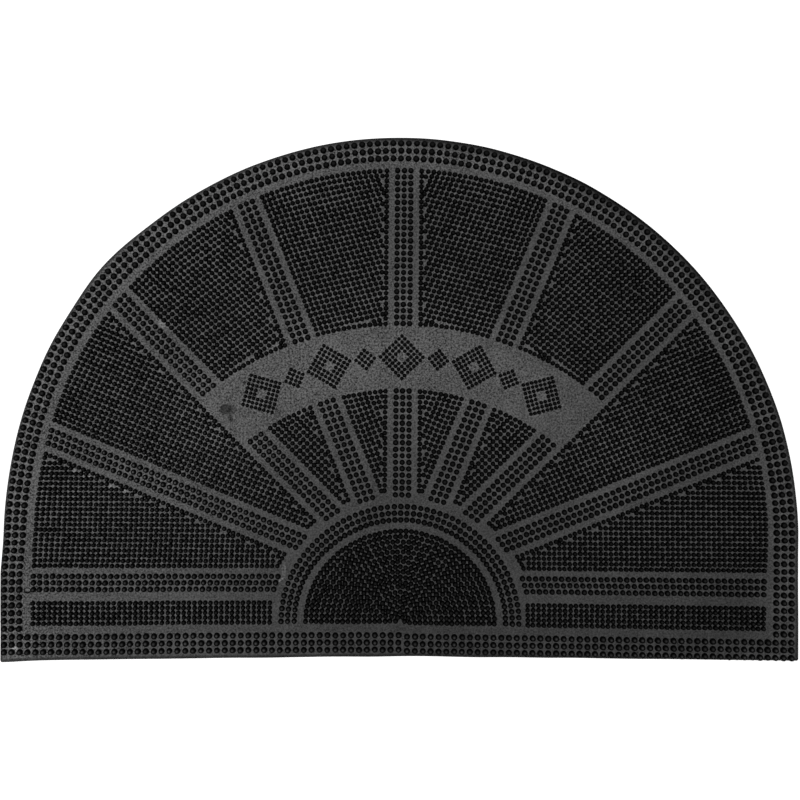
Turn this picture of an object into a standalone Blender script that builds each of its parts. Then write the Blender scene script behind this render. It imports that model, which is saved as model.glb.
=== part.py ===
"""Half-round rubber doormat: one moulded sheet with rows of pins on its upper face.

Metres, +Z up. The origin is on the floor under the middle of the mat's box, with the
straight edge towards -Y and the arch towards +Y. The mat lies flat on its underside.

The pins are 3 to 5 mm across and nearly touch along their rows, so each row of pins is
one low rib here, as wide as a pin and as tall. Points are drawn from the middle of the
straight edge, with +Y into the mat. The drawing is even and the moulding is not, so
every point of a rib goes through settled() before it is used.
"""
import math

import bmesh
import bpy
from mathutils import Matrix, Vector

MM = 0.001

# The sheet
WIDTH = 700 * MM
DEPTH = 459 * MM
SHEET = 3.0 * MM
HEIGHT = 8.0 * MM
ARCH_STEPS = 56
EDGE_STEPS = 8

# How uneven the moulding is. The pins sit a little turned, the straight edge bows in, the
# crown of the arch is fuller and its left end tighter than a half circle, and the outline
# alone bulges at the left shoulder
TURN = math.radians(-0.42)
BOW = 4.0 * MM
BOW_REACH = 100 * MM
BOW_SHAPE = 1.1
CROWN = 1.0 * MM
PULL = 3.3 * MM
PULL_ANGLE, PULL_SPREAD = math.radians(172), math.radians(17)
PULL_FADE = 30 * MM
SHOULDER = 2.2 * MM
SHOULDER_ANGLE, SHOULDER_SPREAD = math.radians(137), math.radians(7)

# Pins of each kind: how wide a row is and how far apart the rows are
BORDER_PIN, BORDER_PITCH = 5.0 * MM, 6.65 * MM
SPOKE_PIN, SPOKE_PITCH = 4.4 * MM, 5.8 * MM
PANEL_PIN, PANEL_PITCH = 3.7 * MM, 4.58 * MM
STRIP_PIN, STRIP_PITCH = 3.6 * MM, 4.42 * MM
DISC_PIN, DISC_PITCH = 3.9 * MM, 4.52 * MM
BAND_PIN, BAND_PITCH = 3.2 * MM, 3.75 * MM

# Border: rows that follow the outline
BORDER_ROWS = 3
BORDER_INSET = 5.4 * MM
BORDER_SHIFT = -1.2 * MM

# Fan: spokes of three rows from one centre, with a panel of rows between each two
RADIUS = WIDTH / 2
ARCH_CENTRE = Vector((0, DEPTH - CROWN - RADIUS))
FAN_CENTRE = Vector((2.0 * MM, 66.2 * MM))
FAN_REACH = 321 * MM
FAN_STEP = math.radians(22.5)
SPOKES = 9
SPOKE_ROWS = 3
SPOKE_TO_PANEL = 15.2 * MM
WEDGES_PER_SIDE = 4

# Strips of rows between the level spokes and the border
STRIP_ROWS = 5
STRIP_FOOT = 30.4 * MM
STRIP_START = 113 * MM

# Half ring and half disc at the middle of the straight edge
RING_CENTRE = Vector((1.1 * MM, 31.2 * MM))
RING_ROWS = 3
RING_RADIUS = 92.6 * MM
DISC_ROWS = 18
DISC_RADIUS = 82.6 * MM
SPOKE_START = 114.5 * MM
PANEL_START = 119 * MM
ARC_FACET = 9 * MM

# Plain curved band across the middle spokes, with lozenges of small pins in it
BAND_CENTRE = Vector((1.0 * MM, 20.9 * MM))
BAND_INNER = 215.5 * MM
BAND_OUTER = 274.5 * MM
BANDED_SPOKES = range(2, 7)
BANDED_WEDGES = range(2, 4)
LOZENGES = 9
LOZENGE_STEP = math.radians(7.5)
LARGE_SIDE = 8
LARGE_OPENING = 2
SMALL_SIDE = 4

# A rib's foot lies inside the sheet, so that the two join into one solid
RIB_ROOT = SHEET - 1.0 * MM
SHORTEST_RIB = 3.0 * MM


def clear_scene():
    for item in list(bpy.data.objects):
        bpy.data.objects.remove(item, do_unlink=True)


def rubber():
    material = bpy.data.materials.new("black moulded rubber")
    material.use_nodes = True
    material.diffuse_color = (0.05, 0.05, 0.05, 1)
    shader = material.node_tree.nodes["Principled BSDF"]
    shader.inputs["Base Color"].default_value = (0.016, 0.016, 0.017, 1)
    shader.inputs["Roughness"].default_value = 0.7
    shader.inputs["Metallic"].default_value = 0
    return material


def hump(value, middle, spread):
    """1 at the middle, falling off softly to 0 on both sides."""
    return math.exp(-((value - middle) / spread) ** 2)


def bowed(point):
    """The point moved as the rubber shrank, in and out along the arch and up from below."""
    out = point - ARCH_CENTRE
    angle = math.atan2(max(0, out.y), out.x)
    swell = CROWN * math.sin(angle) ** 2 - PULL * hump(angle, PULL_ANGLE, PULL_SPREAD)
    swell *= max(0, 1 + min(0, out.y) / PULL_FADE)
    moved = point + swell / RADIUS * out
    across = 1 - min(1, abs(moved.x) / RADIUS) ** BOW_SHAPE
    fade = max(0, 1 - moved.y / BOW_REACH)
    return Vector((moved.x, moved.y + BOW * across * fade))


def settled(point):
    """A point of the pin drawing, turned about the arch's centre and then bowed."""
    turn = Matrix.Rotation(TURN, 2)
    return bowed(ARCH_CENTRE + turn @ (point - ARCH_CENTRE))


def direction(angle):
    return Vector((math.cos(angle), math.sin(angle)))


def outline(inset):
    """The mat's outline drawn in by inset: over the arch, then along the straight edge."""
    radius = RADIUS - inset
    points = []
    for step in range(ARCH_STEPS + 1):
        points.append(ARCH_CENTRE + radius * direction(math.pi * step / ARCH_STEPS))
    for step in range(EDGE_STEPS + 1):
        points.append(Vector((radius * (2 * step / EDGE_STEPS - 1), inset)))
    return points


def way_out(start, heading, centre, radius):
    """How far a line runs before it leaves a circle, or to its nearest point if it misses."""
    offset = start - centre
    along = offset.dot(heading)
    within = along ** 2 - offset.length_squared + radius ** 2
    return math.sqrt(max(0, within)) - along


def way_to_arch(start, heading, reach):
    """How far a line runs to the fan's edge: the arch, or a straight side below its centre."""
    distance = way_out(start, heading, ARCH_CENTRE, reach)
    if (start + distance * heading).y < ARCH_CENTRE.y:
        distance = (math.copysign(reach, heading.x) - start.x) / heading.x
    return distance


def straight_rib(middle, heading, width, near, far):
    """A straight rib whose two edges each run from near(edge) to far(edge), or none."""
    across = Vector((-heading.y, heading.x)) * width / 2
    edges = []
    for edge in (middle + across, middle - across):
        start = near(edge)
        end = far(edge)
        if end - start < SHORTEST_RIB:
            return []
        edges.append([edge + start * heading, edge + end * heading])
    return [(edges[0], edges[1], False)]


def arc_rib(centre, radius, width):
    """A half-round rib that ends half a pin below its centre's level."""
    overhang = width / 2 / radius
    steps = max(6, round(math.pi * radius / ARC_FACET))
    sweep = math.pi + 2 * overhang
    headings = [direction(sweep * step / steps - overhang) for step in range(steps + 1)]
    inner = [centre + (radius - width / 2) * heading for heading in headings]
    outer = [centre + (radius + width / 2) * heading for heading in headings]
    return [(inner, outer, False)]


def border_ribs():
    shift = Vector((BORDER_SHIFT, 0))
    ribs = []
    for row in range(BORDER_ROWS):
        inset = BORDER_INSET + row * BORDER_PITCH
        outer = [point + shift for point in outline(inset - BORDER_PIN / 2)]
        inner = [point + shift for point in outline(inset + BORDER_PIN / 2)]
        ribs.append((inner, outer, True))
    return ribs


def banded_stretches(start_radius, pin, heading, banded):
    """The stretches of a row from the ring to the arch, as pairs of near and far ends."""
    def ring_end(edge):
        return way_out(edge, heading, RING_CENTRE, start_radius - pin / 2)

    def arch_end(edge):
        return way_to_arch(edge, heading, FAN_REACH + pin / 2)

    def band_inner_end(edge):
        return way_out(edge, heading, BAND_CENTRE, BAND_INNER + pin / 2)

    def band_outer_end(edge):
        return way_out(edge, heading, BAND_CENTRE, BAND_OUTER - pin / 2)

    if banded:
        return [(ring_end, band_inner_end), (band_outer_end, arch_end)]
    return [(ring_end, arch_end)]


def spoke_ribs():
    ribs = []
    for spoke in range(SPOKES):
        heading = direction(spoke * FAN_STEP)
        across = Vector((-heading.y, heading.x))
        stretches = banded_stretches(SPOKE_START, SPOKE_PIN, heading, spoke in BANDED_SPOKES)
        for row in range(SPOKE_ROWS):
            middle = FAN_CENTRE + (row - 1) * SPOKE_PITCH * across
            for near, far in stretches:
                ribs += straight_rib(middle, heading, SPOKE_PIN, near, far)
    return ribs


def panel_ribs(side, wedge):
    """The rows of one wedge of the fan, parallel to its lower spoke and cut at its upper."""
    lower, upper = wedge * FAN_STEP, (wedge + 1) * FAN_STEP
    heading = Vector((side * math.cos(lower), math.sin(lower)))
    across = Vector((-side * math.sin(lower), math.cos(lower)))
    from_upper = Vector((side * math.sin(upper), -math.cos(upper)))

    def past_upper_spoke(edge):
        missing = SPOKE_TO_PANEL - PANEL_PIN / 2 - (edge - FAN_CENTRE).dot(from_upper)
        return missing / heading.dot(from_upper)

    ribs = []
    rows = int(FAN_REACH * math.sin(FAN_STEP) / PANEL_PITCH)
    for row in range(rows):
        middle = FAN_CENTRE + (SPOKE_TO_PANEL + row * PANEL_PITCH) * across
        for start, far in banded_stretches(PANEL_START, PANEL_PIN, heading, wedge in BANDED_WEDGES):
            def near(edge, start=start):
                return max(start(edge), past_upper_spoke(edge))
            ribs += straight_rib(middle, heading, PANEL_PIN, near, far)
    return ribs


def strip_ribs():
    ribs = []
    half = STRIP_PIN / 2
    for side in (-1, 1):
        heading = Vector((side, 0))
        for row in range(STRIP_ROWS):
            middle = Vector((0, STRIP_FOOT + row * STRIP_PITCH))
            ribs += straight_rib(middle, heading, STRIP_PIN,
                                 lambda edge: STRIP_START - half,
                                 lambda edge: FAN_REACH + half)
    return ribs


def ring_and_disc_ribs():
    ribs = []
    for row in range(RING_ROWS):
        ribs += arc_rib(RING_CENTRE, RING_RADIUS + row * SPOKE_PITCH, SPOKE_PIN)
    for row in range(DISC_ROWS):
        ribs += arc_rib(RING_CENTRE, DISC_RADIUS - row * DISC_PITCH, DISC_PIN)
    return ribs


def lozenge(centre, outward, half):
    """Four corners of a square that stands on one corner, half its diagonal each way."""
    sideways = Vector((-outward.y, outward.x))
    return [centre + half * way for way in (outward, sideways, -outward, -sideways)]


def lozenge_ribs():
    """Large open lozenges along the band, with a small solid one between each two."""
    ribs = []
    diagonal = math.sqrt(2)
    for place in range(LOZENGES):
        outward = direction(math.pi / 2 + (place - LOZENGES // 2) * LOZENGE_STEP)
        centre = BAND_CENTRE + (BAND_INNER + BAND_OUTER) / 2 * outward
        is_large = place % 2 == 0
        pins = LARGE_SIDE if is_large else SMALL_SIDE
        outer = lozenge(centre, outward, diagonal * ((pins - 1) * BAND_PITCH + BAND_PIN) / 2)
        if is_large:
            opening = (LARGE_OPENING + 1) * BAND_PITCH - BAND_PIN
            ribs.append((lozenge(centre, outward, diagonal * opening / 2), outer, True))
        else:
            ribs.append((outer[0:2], [outer[3], outer[2]], False))
    return ribs


def add_rib(mesh, left, right, closed):
    """Adds a rib from the two edges of its top, as a run of four-cornered sections."""
    sections = []
    for left_point, right_point in zip(left, right):
        a = settled(left_point)
        b = settled(right_point)
        corners = ((a, RIB_ROOT), (a, HEIGHT), (b, HEIGHT), (b, RIB_ROOT))
        sections.append([mesh.verts.new((p.x, p.y - DEPTH / 2, z)) for p, z in corners])
    pairs = list(zip(sections, sections[1:]))
    if closed:
        pairs.append((sections[-1], sections[0]))
    else:
        mesh.faces.new(sections[0])
        mesh.faces.new(sections[-1])
    for first, second in pairs:
        for side in range(4):
            after = (side + 1) % 4
            mesh.faces.new((first[side], second[side], second[after], first[after]))


def finished_object(name, mesh):
    """Turns all faces outwards and makes an object of the mesh."""
    bmesh.ops.recalc_face_normals(mesh, faces=mesh.faces)
    data = bpy.data.meshes.new(name)
    mesh.to_mesh(data)
    mesh.free()
    item = bpy.data.objects.new(name, data)
    bpy.context.scene.collection.objects.link(item)
    return item


def make_ribs():
    ribs = border_ribs() + spoke_ribs() + strip_ribs() + ring_and_disc_ribs() + lozenge_ribs()
    for side in (-1, 1):
        for wedge in range(WEDGES_PER_SIDE):
            ribs += panel_ribs(side, wedge)
    mesh = bmesh.new()
    for left, right, closed in ribs:
        add_rib(mesh, left, right, closed)
    return finished_object("rows of pins", mesh)


def make_sheet():
    mesh = bmesh.new()
    corners = []
    for point in outline(0):
        edge = bowed(point)
        out = edge - ARCH_CENTRE
        bulge = SHOULDER * hump(math.atan2(out.y, out.x), SHOULDER_ANGLE, SHOULDER_SPREAD)
        edge += bulge / RADIUS * out
        corners.append(mesh.verts.new((edge.x, edge.y - DEPTH / 2, 0)))
    underside = mesh.faces.new(corners)
    raised = bmesh.ops.extrude_face_region(mesh, geom=[underside])
    top = [part for part in raised["geom"] if isinstance(part, bmesh.types.BMVert)]
    bmesh.ops.translate(mesh, verts=top, vec=(0, 0, SHEET))
    return finished_object("mat", mesh)


def make_mat():
    """The sheet with its rows of pins, joined into one solid."""
    mat = make_sheet()
    mat.data.materials.append(rubber())
    ribs = make_ribs()
    ribs.hide_render = True
    ribs.display_type = "WIRE"
    join = mat.modifiers.new("join rows", "BOOLEAN")
    join.operation = "UNION"
    join.object = ribs
    return mat


clear_scene()
make_mat()
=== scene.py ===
"""Half-round rubber doormat: the looks of its sheet and pins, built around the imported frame.

Metres, +Z up, in the frame of the solids: the origin is on the floor under the middle of
the mat's box, with the straight edge towards -Y and the arch towards +Y.

Points of the pin drawing are taken from the middle of the straight edge, with +Y into the
mat. The drawing is even and the moulding is not, so settled() turns, lifts and bows each
point before it is used.
"""
import math

import bpy
import numpy as np
from mathutils import Matrix, Vector, noise


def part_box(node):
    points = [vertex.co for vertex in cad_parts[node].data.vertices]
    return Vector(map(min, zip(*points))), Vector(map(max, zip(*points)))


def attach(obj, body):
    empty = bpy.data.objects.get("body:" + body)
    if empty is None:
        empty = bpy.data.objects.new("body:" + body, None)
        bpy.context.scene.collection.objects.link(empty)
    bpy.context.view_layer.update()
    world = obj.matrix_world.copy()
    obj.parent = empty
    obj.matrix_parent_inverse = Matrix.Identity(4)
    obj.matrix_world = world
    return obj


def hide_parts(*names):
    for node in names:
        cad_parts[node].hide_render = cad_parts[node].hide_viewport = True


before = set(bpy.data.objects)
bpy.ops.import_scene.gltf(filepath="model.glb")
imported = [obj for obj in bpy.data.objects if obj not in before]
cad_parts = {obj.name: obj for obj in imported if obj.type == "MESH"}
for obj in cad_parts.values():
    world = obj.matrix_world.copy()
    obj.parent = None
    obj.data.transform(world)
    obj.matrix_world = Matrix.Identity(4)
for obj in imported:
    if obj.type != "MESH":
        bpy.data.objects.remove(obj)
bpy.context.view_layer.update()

MM = 0.001

# The sheet, read from the frame where the solids give it
LOW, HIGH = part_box("mat")
WIDTH = HIGH.x - LOW.x
DEPTH = HIGH.y - LOW.y
HEIGHT = HIGH.z
SHEET = 3.0 * MM

# How uneven the moulding is. The pins sit a little turned, the straight edge bows in, the
# crown of the arch is fuller and its left end tighter than a half circle. The outline alone
# bulges at the left shoulder, and outwards at the left end of the straight edge
TURN = math.radians(-0.42)
BOW = 4.0 * MM
BOW_REACH = 100 * MM
BOW_SHAPE = 1.1
CROWN = 1.0 * MM
PULL = 3.3 * MM
PULL_ANGLE, PULL_SPREAD = math.radians(172), math.radians(17)
PULL_FADE = 30 * MM
SHOULDER = 2.2 * MM
SHOULDER_ANGLE, SHOULDER_SPREAD = math.radians(137), math.radians(7)
FOOT_BULGE, FOOT_BULGE_REACH = 1.2 * MM, 24 * MM
RADIUS = WIDTH / 2
ARCH_CENTRE = Vector((0, DEPTH - CROWN - RADIUS))

# The mould's seam near the middle of the straight edge: the pins left of it sit higher,
# less so away from the seam and up the mat, and the border's columns stand apart there
SEAM = 4.6 * MM
SEAM_GAP = 7.6 * MM
SEAM_LIFT = 1.1 * MM
SEAM_WIDTH = 250 * MM
SEAM_REACH = 110 * MM

# Pins of each kind: width, and how far apart the rows and the pins in a row are. The ring's
# rows are as far apart as a spoke's, and the grid of a panel or lozenge has one pitch. The
# pins of the panels have a width for each wedge, from the straight edge up
BORDER_PIN, BORDER_PITCH, BORDER_STEP = 5.25 * MM, 6.65 * MM, 6.88 * MM
SPOKE_PIN, SPOKE_PITCH, SPOKE_STEP = 4.65 * MM, 5.8 * MM, 5.67 * MM
RING_PIN, RING_STEP = 4.72 * MM, 5.2 * MM
PANEL_PINS, PANEL_PITCH = (3.96 * MM, 4.06 * MM, 4.1 * MM, 4.12 * MM), 4.52 * MM
STRIP_PIN, STRIP_PITCH, STRIP_STEP = 4.05 * MM, 4.42 * MM, 4.68 * MM
DISC_PIN, DISC_PITCH, DISC_STEP = 4.45 * MM, 4.63 * MM, 4.67 * MM
BAND_PIN, BAND_PITCH = 3.2 * MM, 3.75 * MM

# Border: rows that follow the outline
BORDER_ROWS = 3
BORDER_INSET = 5.07 * MM
BORDER_SHIFT = Vector((-0.87 * MM, 0))

# Fan: spokes of three rows from one centre, with a panel of small pins between each two
FAN_CENTRE = Vector((2.0 * MM, 66.2 * MM))
FAN_REACH = 321 * MM
FAN_STEP = math.radians(22.5)
SPOKES = 9
SPOKE_ROWS = 3
SPOKE_TO_PANEL = 15.2 * MM
WEDGES_PER_SIDE = 4
# How far the rows of each wedge's outer panel lean in from square, from the straight edge up
PANEL_SKEWS = (math.radians(1), math.radians(4.3), math.radians(9.2), math.radians(9))
# How many pins at the outer end of a row are set apart, so that the row ends on the edge
STRETCHED_PINS = 5

# Strips of rows between the level spokes and the border. Strips and level spokes end abreast
STRIP_ROWS = 5
STRIP_FOOT = 30.4 * MM
STRIP_START = 113 * MM
STRIP_ENDS = (319.5 * MM, -320.4 * MM)

# Half ring and half disc at the middle of the straight edge
RING_CENTRE = Vector((1.1 * MM, 31.2 * MM))
RING_ROWS = 3
RING_RADIUS = 92.6 * MM
DISC_ROWS = 18
DISC_RADIUS = 82.6 * MM
SPOKE_START = 114.5 * MM
PANEL_START = 119 * MM

# Plain curved band across the middle spokes, with lozenges of small pins in it
BAND_CENTRE = Vector((1.0 * MM, 20.9 * MM))
BAND_INNER = 215.5 * MM
BAND_OUTER = 274.5 * MM
BANDED_SPOKES = range(2, 7)
BANDED_WEDGES = range(2, 4)
LOZENGES = 9
LOZENGE_STEP = math.radians(7.5)
LARGE_SIDE = 8
LARGE_OPENING = 2
SMALL_SIDE = 4

# A pin that would stand closer than this share of the pitch to another is left out
CROWDED = 0.52

# How pale shoes have rubbed the tips of the pins: a little everywhere, more around one place
# and more near the straight edge. Small pins are rubbed a share of that
WORN = Vector((-215 * MM, 165 * MM))
WORN_SPREAD = 110 * MM
FOOT_WEAR_REACH = 60 * MM
WEAR_EVERYWHERE, WEAR_AT_WORN, WEAR_AT_FOOT = 0.02, 0.23, 0.1
SMALL_PIN_WEAR = 0.3

# Camera straight above the mat
CAMERA_HEIGHT = 1.35
CAMERA_PLACE = Vector((0.6 * MM, -0.7 * MM))
VIEW_WIDTH = 701.4 * MM
SENSOR = 36.0

# A wide floor, a softbox that hangs above it, and a fainter light from all round
FLOOR_HALF = 3.0
SOFTBOX_WIDTH, SOFTBOX_POWER = 0.4, 45
SOFTBOX_PLACE = Vector((-0.15, 0.1, 2.0))
FILL_LIGHT = 0.35


def linear(hex_colour):
    """An sRGB hex colour as the linear RGBA that a shader takes."""
    values = [int(hex_colour[at:at + 2], 16) / 255 for at in (1, 3, 5)]
    return [v / 12.92 if v <= 0.04045 else ((v + 0.055) / 1.055) ** 2.4 for v in values] + [1]


def add(tree, kind, settings=None, **wires):
    """Adds a node. A wire is a socket to link or a value, named by its input or as in_0."""
    node = tree.nodes.new(kind)
    for name, value in (settings or {}).items():
        setattr(node, name, value)
    for name, value in wires.items():
        words = name.split("_")
        key = int(words[1]) if words[0] == "in" else " ".join(words).title()
        if isinstance(value, bpy.types.NodeSocket):
            tree.links.new(value, node.inputs[key])
        else:
            node.inputs[key].default_value = value
    return node


def compute(tree, operation, *values):
    """The result of a Math node on values or sockets."""
    wires = {f"in_{at}": value for at, value in enumerate(values)}
    return add(tree, "ShaderNodeMath", {"operation": operation}, **wires).outputs[0]


def linked(name, data):
    """An object in the scene that carries the data."""
    item = bpy.data.objects.new(name, data)
    bpy.context.scene.collection.objects.link(item)
    return item


# The drawing of the pins

def direction(angle):
    return Vector((math.cos(angle), math.sin(angle)))


def hump(value, middle, spread):
    """1 at the middle, falling off softly to 0 on both sides."""
    return math.exp(-((value - middle) / spread) ** 2)


def bowed(point):
    """The point moved as the rubber shrank, in and out along the arch and up from below."""
    out = point - ARCH_CENTRE
    angle = math.atan2(max(0, out.y), out.x)
    swell = CROWN * math.sin(angle) ** 2 - PULL * hump(angle, PULL_ANGLE, PULL_SPREAD)
    swell *= max(0, 1 + min(0, out.y) / PULL_FADE)
    moved = point + swell / RADIUS * out
    across = 1 - min(1, abs(moved.x) / RADIUS) ** BOW_SHAPE
    fade = max(0, 1 - moved.y / BOW_REACH)
    return Vector((moved.x, moved.y + BOW * across * fade))


def lifted(point):
    """The point moved up, if it is low down on the left of the mould's seam."""
    if point.x > SEAM:
        return point
    along = max(0, 1 - (point.x / SEAM_WIDTH) ** 4)
    up = max(0, 1 - (point.y / SEAM_REACH) ** 2)
    return point + Vector((0, SEAM_LIFT * along * up))


def settled(point):
    """A point of the pin drawing, turned about the arch's centre, lifted and then bowed."""
    turn = Matrix.Rotation(TURN, 2)
    return bowed(lifted(ARCH_CENTRE + turn @ (point - ARCH_CENTRE)))


def straight_row(start, end, pitch):
    """Points from start to end, both included, about a pitch apart."""
    gaps = max(1, round((end - start).length / pitch))
    return [start.lerp(end, place / gaps) for place in range(gaps + 1)]


def arc_row(centre, radius, first, last, pitch):
    """Points along an arc between two angles, both ends included, about a pitch apart."""
    gaps = max(1, round(abs(last - first) * radius / pitch))
    return [centre + radius * direction(first + (last - first) * place / gaps)
            for place in range(gaps + 1)]


def arc_between(centre, radius, start, end, pitch):
    """The row on a circle that runs the short way from near one point to near another."""
    first = math.atan2(start.y - centre.y, start.x - centre.x)
    last = math.atan2(end.y - centre.y, end.x - centre.x)
    sweep = (last - first + math.pi) % (2 * math.pi) - math.pi
    return arc_row(centre, radius, first, first + sweep, pitch)


def way_out(start, heading, centre, radius):
    """How far a line runs before it leaves a circle."""
    offset = start - centre
    along = offset.dot(heading)
    return math.sqrt(along ** 2 - offset.length_squared + radius ** 2) - along


def border_pins():
    """Rows over the arch, down the sides and along the foot, their pins abreast of each other."""
    pins = []
    reach = RADIUS - BORDER_INSET
    for row in range(BORDER_ROWS):
        inset = BORDER_INSET + row * BORDER_PITCH
        radius = RADIUS - inset
        pins += arc_row(ARCH_CENTRE, radius, 0, math.pi, BORDER_STEP * radius / reach)
        for side in (-1, 1):
            shoulder = Vector((side * radius, ARCH_CENTRE.y))
            foot = Vector((side * radius, BORDER_INSET))
            pins += straight_row(shoulder, foot, BORDER_STEP)[1:-BORDER_ROWS]
            inner_end = Vector((SEAM + side * SEAM_GAP / 2, inset))
            pins += straight_row(inner_end, Vector((side * reach, inset)), BORDER_STEP)
    return [pin + BORDER_SHIFT for pin in pins]


def spoke_pins():
    """Spokes of three rows from one centre, the middle ones cut through by the band."""
    pins = []
    for spoke in range(SPOKES):
        heading = direction(spoke * FAN_STEP)
        across = Vector((-heading.y, heading.x))
        circles = [(RING_CENTRE, SPOKE_START), (ARCH_CENTRE, FAN_REACH)]
        if spoke in BANDED_SPOKES:
            circles[1:1] = [(BAND_CENTRE, BAND_INNER), (BAND_CENTRE, BAND_OUTER)]
        for row in range(SPOKE_ROWS):
            middle = FAN_CENTRE + (row - 1) * SPOKE_PITCH * across
            ends = [middle + way_out(middle, heading, *circle) * heading for circle in circles]
            if spoke in (0, SPOKES - 1):
                ends[-1].x = STRIP_ENDS[spoke // (SPOKES - 1)]
            for start, end in zip(ends[::2], ends[1::2]):
                pins += straight_row(start, end, SPOKE_STEP)
    return pins


def thinned(pins, pitch):
    """The pins, without any that would stand too close to one before it."""
    kept = []
    placed = np.empty((len(pins), 2))
    for pin in pins:
        gaps = np.hypot(*(placed[:len(kept)] - pin).T) if kept else np.array([pitch])
        if gaps.min() >= CROWDED * pitch:
            placed[len(kept)] = pin
            kept.append(pin)
    return kept


def panel_pins(side, lower_angle, inner, outer, skew):
    """A panel's pins: rows along its sides and inner edge, and a nearly square grid between.

    The grid's rows end on the panel's outer edge, so their last pins are set a little apart.
    """
    upper_angle = lower_angle + FAN_STEP
    heading = Vector((side * math.cos(lower_angle), math.sin(lower_angle)))
    upper_heading = Vector((side * math.cos(upper_angle), math.sin(upper_angle)))
    up = Vector((-side * heading.y, side * heading.x))
    down = Vector((side * upper_heading.y, -side * upper_heading.x))
    lower_start = FAN_CENTRE + SPOKE_TO_PANEL * up
    upper_start = FAN_CENTRE + SPOKE_TO_PANEL * down

    def corner(start, heading, circle):
        return start + way_out(start, heading, *circle) * heading

    lower_inner, lower_outer = (corner(lower_start, heading, circle) for circle in (inner, outer))
    upper_inner, upper_outer = (corner(upper_start, upper_heading, circle)
                                for circle in (inner, outer))
    pins = straight_row(lower_inner, lower_outer, PANEL_PITCH)
    pins += straight_row(upper_outer, upper_inner, PANEL_PITCH)
    pins += arc_between(*inner, upper_inner, lower_inner, PANEL_PITCH)
    next_row = up - math.tan(skew) * heading
    margin = CROWDED * PANEL_PITCH
    reach = math.ceil(RADIUS / PANEL_PITCH)
    for row in range(1, reach):
        start = lower_inner + row * PANEL_PITCH * next_row
        if (start - outer[0]).dot(up) >= outer[1]:
            break
        run = way_out(start, heading, *outer)
        last = round(run / PANEL_PITCH)
        for place in range(last, -reach, -1):
            stretch = max(0, 1 - (last - place) / STRETCHED_PINS)
            along = place * PANEL_PITCH + stretch * (run - last * PANEL_PITCH)
            point = start + along * heading
            clear_of_upper = (point - upper_start).dot(down) >= margin
            clear_of_inner = (point - inner[0]).length - inner[1] >= margin
            if clear_of_upper and clear_of_inner:
                pins.append(point)
    return thinned(pins, PANEL_PITCH)


def wedge_pins(side, wedge):
    """The pins between two spokes: one panel, or one on each side of the curved band."""
    edges = [(RING_CENTRE, PANEL_START), (ARCH_CENTRE, FAN_REACH)]
    if wedge in BANDED_WEDGES:
        edges[1:1] = [(BAND_CENTRE, BAND_INNER), (BAND_CENTRE, BAND_OUTER)]
    pins = []
    for inner, outer in zip(edges[::2], edges[1::2]):
        skew = PANEL_SKEWS[wedge] if outer[0] == ARCH_CENTRE else 0
        pins += panel_pins(side, wedge * FAN_STEP, inner, outer, skew)
    return pins


def strip_pins():
    """Level rows on both sides, between the level spokes and the border."""
    pins = []
    for end in STRIP_ENDS:
        start = math.copysign(STRIP_START, end)
        for row in range(STRIP_ROWS):
            height = STRIP_FOOT + row * STRIP_PITCH
            pins += straight_row(Vector((start, height)), Vector((end, height)), STRIP_STEP)
    return pins


def ring_pins():
    """Half-round rows with their pins abreast, so wider apart from row to row."""
    pins = []
    for row in range(RING_ROWS):
        radius = RING_RADIUS + row * SPOKE_PITCH
        pins += arc_row(RING_CENTRE, radius, 0, math.pi, RING_STEP * radius / RING_RADIUS)
    return pins


def disc_pins():
    """Half-round rows of evenly spaced pins, down to the smallest that has room."""
    pins = []
    for row in range(DISC_ROWS):
        pins += arc_row(RING_CENTRE, DISC_RADIUS - row * DISC_PITCH, 0, math.pi, DISC_STEP)
    return pins


def lozenge_pins():
    """Large open lozenges along the band, with a small solid one between each two."""
    pins = []
    for lozenge in range(LOZENGES):
        outward = direction(math.pi / 2 + (lozenge - LOZENGES // 2) * LOZENGE_STEP)
        rise = Matrix.Rotation(math.pi / 4, 2) @ outward
        fall = Matrix.Rotation(-math.pi / 4, 2) @ outward
        centre = BAND_CENTRE + (BAND_INNER + BAND_OUTER) / 2 * outward
        side, opening = (LARGE_SIDE, LARGE_OPENING) if lozenge % 2 == 0 else (SMALL_SIDE, 0)
        for row in range(side):
            for place in range(side):
                up, along = row - (side - 1) / 2, place - (side - 1) / 2
                if max(abs(up), abs(along)) > opening / 2:
                    pins.append(centre + BAND_PITCH * (up * rise + along * fall))
    return pins


# Meshes

def finished_object(name, vertices, faces, material):
    data = bpy.data.meshes.new(name)
    data.from_pydata(vertices, [], faces)
    data.materials.append(material)
    return linked(name, data)


# Pin profile: share of the pin's height and of its foot's width, from the foot to the tip.
# A foot is PIN_FLARE times as wide as its pin, and stands PIN_ROOT deep in the sheet
PIN_PROFILE = [(0.0, 1.0), (0.20, 0.94), (0.86, 0.79), (0.965, 0.55)]
PIN_FLARE = 1.12
PIN_ROOT = 0.4 * MM

# Pins wider than this have more sides, and their tips are rubbed more
LARGE_PIN = 4.5 * MM
LARGE_PIN_SIDES, SMALL_PIN_SIDES = 12, 10

# How far a pin may lean, and by what share pins may differ in width and in height
LEAN = math.radians(2.5)
SIZE_SPREAD, HEIGHT_SPREAD = 0.05, 0.06


def curve_through(node, points):
    """Makes a Float Curve node run straight from point to point."""
    curve = node.mapping.curves[0]
    while len(curve.points) < len(points):
        curve.points.new(0.5, 0.5)
    for knot, place in zip(curve.points, sorted(points)):
        knot.location = place
        knot.handle_type = "VECTOR"
    node.mapping.update()


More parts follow.
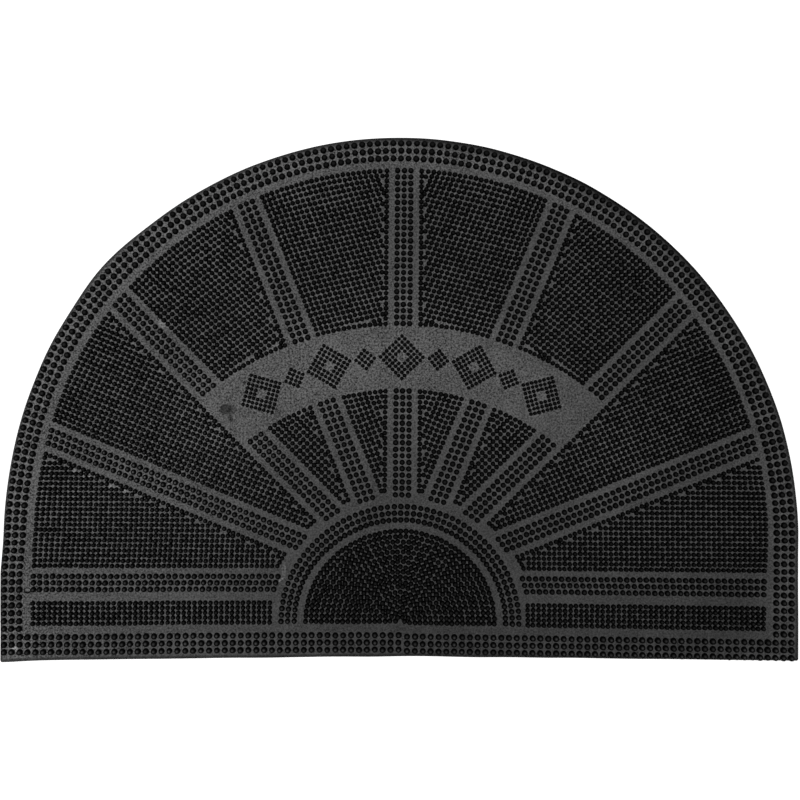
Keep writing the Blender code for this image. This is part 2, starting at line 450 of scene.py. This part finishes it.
def pin_tree():
    """Geometry nodes that stand a tapered, domed pin on each point of a mesh."""
    tree = bpy.data.node_groups.new("pins on points", "GeometryNodeTree")
    face = tree.interface
    face.new_socket("Geometry", in_out="OUTPUT", socket_type="NodeSocketGeometry")
    face.new_socket("Geometry", in_out="INPUT", socket_type="NodeSocketGeometry")
    for name in ("Pin Width", "Pin Height", "Root", "Scatter", "Lean", "Size Spread",
                 "Height Spread"):
        face.new_socket(name, in_out="INPUT", socket_type="NodeSocketFloat")
    face.new_socket("Sides", in_out="INPUT", socket_type="NodeSocketInt")
    face.new_socket("Seed", in_out="INPUT", socket_type="NodeSocketInt")
    face.new_socket("Material", in_out="INPUT", socket_type="NodeSocketMaterial")
    given = tree.nodes.new("NodeGroupInput").outputs

    def add_math(operation, first, second):
        return compute(tree, operation, first, second)

    def stored(geometry, name, value, domain="POINT"):
        settings = {"data_type": "FLOAT", "domain": domain}
        return add(tree, "GeometryNodeStoreNamedAttribute", settings,
                   Geometry=geometry, Name=name, Value=value).outputs[0]

    def random(kind, low, high, salt):
        seed = add_math("ADD", given["Seed"], salt)
        settings = {"data_type": kind}
        node = add(tree, "FunctionNodeRandomValue", settings, Seed=seed)
        socket = 0 if kind == "FLOAT_VECTOR" else 2
        for at, value in ((socket, low), (socket + 1, high)):
            if isinstance(value, bpy.types.NodeSocket):
                tree.links.new(value, node.inputs[at])
            else:
                node.inputs[at].default_value = value
        return node.outputs["Value" if kind == "FLOAT_VECTOR" else 1]

    # One pin of unit size, its rings moved to the profile
    stub = add(tree, "GeometryNodeMeshCylinder", {"fill_type": "TRIANGLE_FAN"},
               Vertices=given["Sides"], Side_Segments=len(PIN_PROFILE) - 1,
               Radius=1.0, Depth=1.0)
    place = add(tree, "GeometryNodeInputPosition").outputs[0]
    parts = add(tree, "ShaderNodeSeparateXYZ", Vector=place).outputs
    up = add_math("ADD", parts["Z"], 0.5)
    flat = add(tree, "ShaderNodeCombineXYZ", X=parts["X"], Y=parts["Y"]).outputs[0]
    out = add(tree, "ShaderNodeVectorMath", {"operation": "LENGTH"}, in_0=flat).outputs["Value"]
    steps = [step / (len(PIN_PROFILE) - 1) for step in range(len(PIN_PROFILE))]
    width = add(tree, "ShaderNodeFloatCurve", Value=up)
    curve_through(width, [(step, share) for step, (_, share) in zip(steps, PIN_PROFILE)])
    rise = add(tree, "ShaderNodeFloatCurve", Value=up)
    curve_through(rise, [(step, share) for step, (share, _) in zip(steps, PIN_PROFILE)])
    centre = add_math("SUBTRACT", 1.0, out)
    on_cap = add_math("GREATER_THAN", up, 0.9)
    apex = add_math("MULTIPLY", centre, on_cap)
    dome = add_math("MULTIPLY", apex, 1 - PIN_PROFILE[-1][0])
    foot = add_math("MULTIPLY", given["Pin Width"], PIN_FLARE / 2)
    radius = add_math("MULTIPLY", width.outputs[0], foot)
    span = add_math("ADD", given["Pin Height"], given["Root"])
    height = add_math("MULTIPLY", add_math("ADD", rise.outputs[0], dome), span)
    above_sheet = add_math("SUBTRACT", height, given["Root"])
    shaped = add(tree, "ShaderNodeCombineXYZ",
                 X=add_math("MULTIPLY", parts["X"], radius),
                 Y=add_math("MULTIPLY", parts["Y"], radius), Z=above_sheet).outputs[0]
    with_tip = stored(stub.outputs["Mesh"], "tip", apex)
    pin = add(tree, "GeometryNodeSetPosition", Geometry=with_tip, Position=shaped)

    # The points, each a little off its place
    away = random("FLOAT_VECTOR", (-1, -1, 0), (1, 1, 0), 1)
    offset = add(tree, "ShaderNodeVectorMath", {"operation": "SCALE"},
                 in_0=away, Scale=given["Scatter"]).outputs[0]
    points = add(tree, "GeometryNodeSetPosition", Geometry=given["Geometry"], Offset=offset)

    # The copies, each a little leaning, wide or tall
    lean = random("FLOAT_VECTOR", (-1, -1, 0), (1, 1, 0), 2)
    tilt = add(tree, "ShaderNodeVectorMath", {"operation": "SCALE"},
               in_0=lean, Scale=given["Lean"]).outputs[0]
    girth = random("FLOAT", add_math("SUBTRACT", 1.0, given["Size Spread"]),
                   add_math("ADD", 1.0, given["Size Spread"]), 3)
    stature = random("FLOAT", add_math("SUBTRACT", 1.0, given["Height Spread"]), 1.0, 4)
    size = add(tree, "ShaderNodeCombineXYZ", X=girth, Y=girth, Z=stature).outputs[0]
    copies = add(tree, "GeometryNodeInstanceOnPoints", Points=points.outputs[0],
                 Instance=pin.outputs[0], Rotation=tilt, Scale=size)
    with_tone = stored(copies.outputs[0], "tone", random("FLOAT", 0.0, 1.0, 5), "INSTANCE")
    real = add(tree, "GeometryNodeRealizeInstances", Geometry=with_tone)
    smooth = add(tree, "GeometryNodeSetShadeSmooth", Geometry=real.outputs[0])
    coated = add(tree, "GeometryNodeSetMaterial", Geometry=smooth.outputs[0],
                 Material=given["Material"])
    end = tree.nodes.new("NodeGroupOutput")
    tree.links.new(coated.outputs[0], end.inputs["Geometry"])
    return tree


def wear(place, width):
    """How pale the tip of a pin is rubbed: most left of the middle, least if it is small."""
    left = hump(place.x, WORN.x, WORN_SPREAD) * hump(place.y, WORN.y, WORN_SPREAD)
    foot = hump(place.y, 0, FOOT_WEAR_REACH)
    share = 1.0 if width > LARGE_PIN else SMALL_PIN_WEAR
    return share * (WEAR_EVERYWHERE + WEAR_AT_WORN * left + WEAR_AT_FOOT * foot)


def stand_pins(name, tree, pins, width, seed, scatter, material):
    """One piece: a pin on each point of the drawing, as a plain mesh."""
    places = [settled(point) for point in pins]
    points = finished_object(name + " points", [(p.x, p.y - DEPTH / 2, SHEET) for p in places],
                             [], material)
    worn = points.data.attributes.new("wear", "FLOAT", "POINT")
    worn.data.foreach_set("value", [wear(place, width) for place in places])
    modifier = points.modifiers.new("pins", "NODES")
    modifier.node_group = tree
    given = {"Pin Width": width, "Pin Height": HEIGHT - SHEET, "Root": PIN_ROOT,
             "Scatter": scatter, "Lean": LEAN, "Size Spread": SIZE_SPREAD,
             "Height Spread": HEIGHT_SPREAD, "Seed": seed, "Material": material,
             "Sides": LARGE_PIN_SIDES if width > LARGE_PIN else SMALL_PIN_SIDES}
    for socket in tree.interface.items_tree:
        if socket.in_out == "INPUT" and socket.name in given:
            modifier[socket.identifier] = given[socket.name]
    evaluated = points.evaluated_get(bpy.context.evaluated_depsgraph_get())
    data = bpy.data.meshes.new_from_object(evaluated)
    data.name = name
    bpy.data.objects.remove(points, do_unlink=True)
    return linked(name, data)


# Rim profile, from the underside to the top: how far in from the outline, how high, and
# what share of the sheet's dust and painted light it takes
RIM_PROFILE = [(0.9, 0.0, 0.1), (0.25, 0.12, 0.1), (0.0, 0.7, 0.1), (0.0, 1.9, 0.1),
               (0.12, 2.6, 0.1), (0.55, 2.95, 0.3), (1.05, 2.93, 0.45), (1.6, 2.82, 0.4),
               (2.3, 2.95, 0.65), (3.2, 3.0, 1.0)]

# Radius of the outline's two corners at the rim, and the least it comes to further in
CORNER, SHARPEST_CORNER = 1.8 * MM, 0.3 * MM

# How finely the sheet is divided: around its corners and outline, over its top and underside
CORNER_STEPS = 5
OUTLINE_STEP = 4.0 * MM
TOP_RINGS, UNDER_RINGS = 34, 3

# Waves of the rim and of the top: how far they go, and how long they are
WAVE, WAVE_LENGTH = 0.5 * MM, 45 * MM
UNEVEN, UNEVEN_LENGTH = 0.12 * MM, 60 * MM


def outline(inset):
    """The mat's outline drawn in by inset, as an even loop with small round corners."""
    radius = RADIUS - inset
    corner = max(SHARPEST_CORNER, CORNER - inset)
    low_left = Vector((-radius + corner, inset + corner))
    low_right = Vector((radius - corner, inset + corner))
    points = arc_row(ARCH_CENTRE, radius, 0, math.pi, OUTLINE_STEP)
    side_gaps = round(ARCH_CENTRE.y / OUTLINE_STEP)
    points += [Vector((-radius, ARCH_CENTRE.y + (low_left.y - ARCH_CENTRE.y) * place / side_gaps))
               for place in range(1, side_gaps)]
    points += [low_left + corner * direction(math.pi + math.pi / 2 * place / CORNER_STEPS)
               for place in range(CORNER_STEPS + 1)]
    foot_gaps = round(WIDTH / OUTLINE_STEP)
    points += [low_left.lerp(low_right, place / foot_gaps) - Vector((0, corner))
               for place in range(1, foot_gaps)]
    points += [low_right + corner * direction(-math.pi / 2 + math.pi / 2 * place / CORNER_STEPS)
               for place in range(CORNER_STEPS + 1)]
    points += [Vector((radius, low_right.y + (ARCH_CENTRE.y - low_right.y) * place / side_gaps))
               for place in range(1, side_gaps)]
    return points


# Dust on the sheet, with painted light and shade. The open band is painted paler, as light that
# falls where no pins shade it, and dust lies thicker along the rim. The sheet is darker to the
# right, partly painted shade from the light at the left and partly thinner dust, and dust is
# thinner at the half ring and low down. The very rim is darker at the upper right
BAND_PAINTED_LIGHT, RIM_DUST = 0.4, 0.35
RIGHT_PAINTED_SHADE_AND_DUST, THINNER_AT_RING = 0.27, 0.27
THINNER_LOW, THINNER_LOW_RIGHT = 0.12, 0.13
DUSTY_RIM = 28 * MM
DARK_RIM, DARK_RIM_SHARE = 4.5 * MM, 0.95
DARK_RIM_ANGLE, DARK_RIM_SPREAD = math.radians(58), math.radians(45)


def dust_and_painted_light(place):
    """How pale the sheet is at a place: paler with painted light in the open band and with dust at
    the rim, darker with painted shade and thinner dust to the right, and less dust low down.
    """
    out = place - BAND_CENTRE
    middle = (BAND_INNER + BAND_OUTER) / 2
    in_band = hump(out.length, middle, BAND_OUTER - BAND_INNER) * max(0, out.y / out.length)
    at_ring = hump((place - RING_CENTRE).length, 0, RING_RADIUS + PANEL_START / 2)
    from_centre = place - ARCH_CENTRE
    at_rim = hump(from_centre.length, RADIUS, DUSTY_RIM)
    angle = math.atan2(from_centre.y, from_centre.x)
    # The rim is made darker at the upper right
    darker_rim = hump(from_centre.length, RADIUS, DARK_RIM) * hump(angle, DARK_RIM_ANGLE, DARK_RIM_SPREAD)
    low = hump(place.y, 0, SEAM_REACH)
    low_right = hump(place.y, 0, FOOT_WEAR_REACH) * max(0, place.x / RADIUS)
    # The open band is painted paler, as light where no pins shade it; the right is painted darker,
    # partly as shade and partly as thinner dust
    more = BAND_PAINTED_LIGHT * in_band ** 2 + RIM_DUST * at_rim
    less = (RIGHT_PAINTED_SHADE_AND_DUST * place.x / RADIUS + THINNER_AT_RING * at_ring
            + THINNER_LOW * low + THINNER_LOW_RIGHT * low_right)
    return (1 + more - less) * (1 - DARK_RIM_SHARE * darker_rim)


def rubber_sheet(material):
    """The half-round sheet: a rounded, slightly wavy rim, an uneven top, a flat underside."""
    middle = Vector((0, DEPTH / 2))
    rings = []
    shares = []
    for inset, height, share in RIM_PROFILE:
        ring = []
        for point in outline(inset * MM):
            spot = bowed(point)
            out = spot - ARCH_CENTRE
            bulge = SHOULDER * hump(math.atan2(out.y, out.x), SHOULDER_ANGLE, SHOULDER_SPREAD)
            spot += bulge / RADIUS * out
            near_foot = max(0, 1 - point.y / FOOT_BULGE_REACH)
            spot.y -= FOOT_BULGE * near_foot * hump(point.x, -RADIUS, FOOT_BULGE_REACH)
            wave = WAVE * noise.noise((*(spot / WAVE_LENGTH), 0))
            spot = spot.lerp(middle, wave / (spot - middle).length)
            ring.append(Vector((spot.x, spot.y, height * MM)))
        rings.append(ring)
        shares.append(share)
    top, under = rings[-1], rings[0]
    for step in range(1, TOP_RINGS):
        ring = []
        for point in top:
            spot = middle + (1 - step / TOP_RINGS) * (point.xy - middle)
            lift = UNEVEN * noise.noise((*(spot / UNEVEN_LENGTH), 5))
            ring.append(Vector((spot.x, spot.y, SHEET + lift)))
        rings.append(ring)
        shares.append(1.0)
    for step in range(1, UNDER_RINGS):
        share = 1 - step / UNDER_RINGS
        rings.insert(0, [Vector((*(middle + share * (point.xy - middle)), 0)) for point in under])
        shares.insert(0, shares[0])
    vertices = [(p.x, p.y - DEPTH / 2, p.z) for ring in rings for p in ring]
    edge_count = len(top)
    faces = []
    for level in range(len(rings) - 1):
        low, high = level * edge_count, (level + 1) * edge_count
        for at in range(edge_count):
            after = (at + 1) % edge_count
            faces.append((low + at, low + after, high + after, high + at))
    faces.append(list(reversed(range(edge_count))))
    last = (len(rings) - 1) * edge_count
    faces.append(list(range(last, last + edge_count)))
    sheet = finished_object("rubber_sheet", vertices, faces, material)
    sheet.data.shade_smooth()
    # The attribute holds the dust and the painted light and shade
    dust_and_light_layer = sheet.data.attributes.new("dust_and_painted_light", "FLOAT", "POINT")
    dust_and_light_layer.data.foreach_set("value", [share * dust_and_painted_light(point.xy)
                                     for ring, share in zip(rings, shares) for point in ring])
    return sheet


# Stray bits of rubber that the mould left standing on the sheet, each drawn as points in mm
# from the origin and a thickness in mm: a hair at the left, and threads that join pins of
# the border. The ring beside the level spoke is thin at its top
FLASH_RING = Vector((-326.1, -167.5))
FLASH_RING_REACH = (2.7, 2.2)
FLASH_RING_THIN, FLASH_RING_THICK = 0.3, 0.75
FLASH_THREADS = [([(-331.2, -141.3), (-329.2, -142.2), (-328.2, -143.9), (-327.8, -145.6)], 0.42),
                 ([(-340.0, -201.0), (-336.6, -201.2), (-333.4, -201.0)], 0.9),
                 ([(-331.0, -208.2), (-329.2, -208.4), (-327.4, -208.0)], 0.6),
                 ([(-317.5, -214.3), (-315.4, -215.3), (-313.2, -214.6)], 0.7)]
FLASH_STEPS = 24


def flash_marks(material):
    """The stray bits as one piece, each a thin thread of rubber lying on the sheet."""
    threads = [[(x, y, thickness) for x, y in path] for path, thickness in FLASH_THREADS]
    wide, tall = FLASH_RING_REACH
    ring = []
    for step in range(FLASH_STEPS + 1):
        out = direction(2 * math.pi * step / FLASH_STEPS)
        thickness = FLASH_RING_THIN + (FLASH_RING_THICK - FLASH_RING_THIN) * (1 - out.y) / 2
        ring.append((FLASH_RING.x + wide * out.x, FLASH_RING.y + tall * out.y, thickness))
    line = bpy.data.curves.new("flash marks drawn", "CURVE")
    line.dimensions = "3D"
    line.bevel_depth = MM
    line.bevel_resolution = 2
    line.use_fill_caps = True
    for path in [ring, *threads]:
        thread = line.splines.new("POLY")
        thread.points.add(len(path) - 1)
        for knot, (x, y, thickness) in zip(thread.points, path):
            knot.co = (x * MM, y * MM, SHEET, 1)
            knot.radius = thickness
    drawn = bpy.data.objects.new("flash marks drawn", line)
    data = bpy.data.meshes.new_from_object(drawn)
    bpy.data.objects.remove(drawn, do_unlink=True)
    data.name = "flash_marks"
    data.materials.clear()
    data.materials.append(material)
    return linked("flash_marks", data)


# Materials

# Marks on the sheet, in mm from the origin: x, y, reach along and across, turn in degrees,
# and how much paler or darker
STAIN = [(-152.3, -8.8, 5.2, 4.8, 0, -0.66), (-146.4, -9.2, 3.8, 3.6, 0, -0.45),
         (-148.0, -16.0, 2.2, 4.4, 10, -0.55), (-135.6, 14.6, 1.4, 1.2, 0, -0.75)]
SMEARS = [(-285.6, -61.6, 3.4, 2.0, -30, 0.6), (-275.2, -66.5, 5.2, 2.4, -15, 1.1),
          (-251.5, -76.9, 4.4, 2.0, 0, 0.7), (-242.0, -80.2, 4.4, 2.0, -20, 0.7),
          (-337.5, -218.8, 4.5, 2.2, -25, 1.4), (-336.8, -202.5, 2.6, 2.2, 0, 0.8),
          (-207.5, 65.5, 6.0, 3.0, -40, 0.8), (-104.0, -158.5, 4.8, 0.8, 38, 1.2),
          (-101.0, -150.0, 2.0, 6.0, 0, 0.8), (-326.1, -167.5, 2.2, 1.9, 0, 0.15)]


def marked(tree, place, shade, marks):
    """The shade, made paler or darker inside each mark, with a soft and ragged edge."""
    ragged = add(tree, "ShaderNodeTexNoise", Vector=place, Scale=1 / (2.5 * MM), Detail=2.0)
    for x, y, along, across, turn, change in marks:
        inside = add(tree, "ShaderNodeMapping", {"vector_type": "TEXTURE"}, Vector=place,
                     Location=(x * MM, y * MM, SHEET), Rotation=(0, 0, math.radians(turn)),
                     Scale=(along * MM, across * MM, 1)).outputs[0]
        reach = add(tree, "ShaderNodeVectorMath", {"operation": "LENGTH"}, in_0=inside)
        edge = compute(tree, "MULTIPLY_ADD", ragged.outputs[0], 0.5, reach.outputs["Value"])
        gain = add(tree, "ShaderNodeMapRange", Value=edge, From_Min=1.1, From_Max=1.35,
                   To_Min=1 + change, To_Max=1.0).outputs[0]
        shade = compute(tree, "MULTIPLY", shade, gain)
    return shade


def begun_material(name, specular):
    """A new material, with its node tree and its shader."""
    material = bpy.data.materials.new(name)
    material.use_nodes = True
    tree = material.node_tree
    shader = tree.nodes["Principled BSDF"]
    shader.inputs["Specular IOR Level"].default_value = specular
    return material, tree, shader


def web_rubber():
    """Moulded black rubber with dust in its pores: a dull grey, mottled skin."""
    material, tree, shader = begun_material("moulded rubber, dusty web with painted light", 0.1)
    place = add(tree, "ShaderNodeTexCoord").outputs["Object"]

    # Fine mottle: dust in the pores of the skin
    mottle = add(tree, "ShaderNodeTexNoise", Vector=place, Scale=1 / (1.6 * MM), Detail=2.0,
                 Roughness=0.7).outputs[0]
    # Smudges as wide as a finger, and broad paler and darker patches
    smudge = add(tree, "ShaderNodeTexNoise", Vector=place, Scale=1 / (14 * MM), Detail=3.0,
                 Roughness=0.6).outputs[0]
    patch = add(tree, "ShaderNodeTexNoise", Vector=place, Scale=1 / (70 * MM), Detail=2.0,
                Roughness=0.5).outputs[0]
    smudged = compute(tree, "MULTIPLY_ADD", smudge, 0.2, mottle)
    mixed = compute(tree, "MULTIPLY_ADD", patch, 0.2, smudged)
    # Where the sheet is paler, from thicker dust and from painted light, the mottle lies less
    # evenly
    dust_and_light_layer = add(tree, "ShaderNodeAttribute", {"attribute_name": "dust_and_painted_light"}).outputs["Fac"]
    unevenly = add(tree, "ShaderNodeMapRange", Value=dust_and_light_layer, From_Min=0.9, From_Max=1.3,
                   To_Min=0.0, To_Max=0.8).outputs[0]
    centred = compute(tree, "SUBTRACT", mottle, 0.5)
    mixed = compute(tree, "MULTIPLY_ADD", centred, unevenly, mixed)
    ramp = add(tree, "ShaderNodeValToRGB", Fac=mixed)
    ramp.color_ramp.elements[0].position = 0.40
    ramp.color_ramp.elements[0].color = linear("#080808")
    ramp.color_ramp.elements[1].position = 0.97
    ramp.color_ramp.elements[1].color = linear("#4f4f4f")

    # The sheet's attribute says how thickly the dust lies and where light and shade are painted on
    # it, and more dust is caught where pins stand close together
    openness = add(tree, "ShaderNodeAmbientOcclusion", {"samples": 6},
                   Distance=5 * MM).outputs["AO"]
    caught = add(tree, "ShaderNodeMapRange", Value=openness, To_Min=1.5, To_Max=1.0).outputs[0]
    # This tone carries the dust and the painted light and shade of the sheet
    dust_and_light_tone = compute(tree, "MULTIPLY", dust_and_light_layer, caught)
    toned = add(tree, "ShaderNodeVectorMath", {"operation": "SCALE"}, in_0=ramp.outputs[0],
                Scale=marked(tree, place, dust_and_light_tone, STAIN + SMEARS))
    tree.links.new(toned.outputs[0], shader.inputs["Base Color"])
    rough = add(tree, "ShaderNodeMapRange", Value=mottle, To_Min=0.8, To_Max=0.98)
    tree.links.new(rough.outputs[0], shader.inputs["Roughness"])
    bump = add(tree, "ShaderNodeBump", Height=mottle, Strength=0.3, Distance=0.2 * MM)
    tree.links.new(bump.outputs[0], shader.inputs["Normal"])
    return material


def pin_rubber():
    """Moulded black rubber: clean, deep black flanks, and tips rubbed pale by shoes."""
    material, tree, shader = begun_material("moulded rubber, pins", 0.05)
    tip = add(tree, "ShaderNodeAttribute", {"attribute_name": "tip"}).outputs["Fac"]
    worn = add(tree, "ShaderNodeAttribute", {"attribute_name": "wear"}).outputs["Fac"]
    tone = add(tree, "ShaderNodeAttribute", {"attribute_name": "tone"}).outputs["Fac"]

    # Only the very tip is rubbed, and no two tips alike
    spot = add(tree, "ShaderNodeMapRange", Value=tip, From_Min=0.15, From_Max=1.0).outputs[0]
    share = add(tree, "ShaderNodeMapRange", Value=tone, To_Min=0.4, To_Max=1.3).outputs[0]
    rubbed = compute(tree, "MULTIPLY", worn, share)
    pale = compute(tree, "MULTIPLY", spot, rubbed)
    # Inputs 6 and 7 of a Mix node are its two colours, and output 2 is the mixed one
    mix = add(tree, "ShaderNodeMix", {"data_type": "RGBA"})
    tree.links.new(pale, mix.inputs[0])
    mix.inputs[6].default_value = linear("#020202")
    mix.inputs[7].default_value = linear("#8c8c8c")
    tree.links.new(mix.outputs[2], shader.inputs["Base Color"])
    rough = add(tree, "ShaderNodeMapRange", Value=tip, To_Min=0.5, To_Max=0.85)
    tree.links.new(rough.outputs[0], shader.inputs["Roughness"])
    return material


# Studio

def stage_floor():
    signs = [(-1, -1), (1, -1), (1, 1), (-1, 1)]
    corners = [(x * FLOOR_HALF, y * FLOOR_HALF, 0) for x, y in signs]
    material, _, shader = begun_material("matt white paper", 0.0)
    shader.inputs["Base Color"].default_value = linear("#f4f4f4")
    shader.inputs["Roughness"].default_value = 1.0
    floor = finished_object("floor", corners, [(0, 1, 2, 3)], material)


def studio_light():
    key = bpy.data.lights.new("overhead softbox", "AREA")
    key.shape = "DISK"
    key.size = SOFTBOX_WIDTH
    key.energy = SOFTBOX_POWER
    lamp = linked("overhead softbox", key)
    lamp.location = SOFTBOX_PLACE
    to_mat = -SOFTBOX_PLACE
    lamp.rotation_euler = to_mat.to_track_quat("-Z", "Y").to_euler()
    world = bpy.data.worlds.new("pale studio")
    bpy.context.scene.world = world
    world.use_nodes = True
    tree = world.node_tree
    ray = add(tree, "ShaderNodeLightPath").outputs["Is Camera Ray"]
    strength = add(tree, "ShaderNodeMapRange", Value=ray, To_Min=FILL_LIGHT, To_Max=1.0).outputs[0]
    tree.links.new(strength, tree.nodes["Background"].inputs["Strength"])
    tree.nodes["Background"].inputs["Color"].default_value = (1, 1, 1, 1)


def look_from_above():
    lens = bpy.data.cameras.new("camera above")
    lens.sensor_width = SENSOR
    lens.lens = SENSOR * CAMERA_HEIGHT / VIEW_WIDTH
    lens.clip_end = 20
    camera = linked("camera above", lens)
    camera.location = (*CAMERA_PLACE, SHEET + CAMERA_HEIGHT)
    bpy.context.scene.camera = camera
    bpy.context.scene.view_settings.view_transform = "Standard"


look_from_above()
stage_floor()
studio_light()

web_look = web_rubber()
pin_look = pin_rubber()
sheet = rubber_sheet(web_look)
pins_on_points = pin_tree()

# Each group of pins: its name, its points, their width, and how far one may be off its point
groups = [("border_pins", border_pins(), BORDER_PIN, 0.15 * MM),
          ("spoke_pins", spoke_pins(), SPOKE_PIN, 0.18 * MM),
          ("strip_pins", strip_pins(), STRIP_PIN, 0.2 * MM),
          ("ring_pins", ring_pins(), RING_PIN, 0.15 * MM),
          ("disc_pins", disc_pins(), DISC_PIN, 0.3 * MM),
          ("lozenge_pins", lozenge_pins(), BAND_PIN, 0.15 * MM)]
for side, side_name in ((-1, "left"), (1, "right")):
    for wedge in range(WEDGES_PER_SIDE):
        groups.append((f"panel_pins_{side_name}_{wedge + 1}", wedge_pins(side, wedge),
                       PANEL_PINS[wedge], 0.2 * MM))
pin_pieces = [stand_pins(name, pins_on_points, points, width, seed, scatter, pin_look)
              for seed, (name, points, width, scatter) in enumerate(groups)]

flash = flash_marks(pin_look)
for piece in [sheet, flash, *pin_pieces]:
    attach(piece, "root")
    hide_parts("mat")
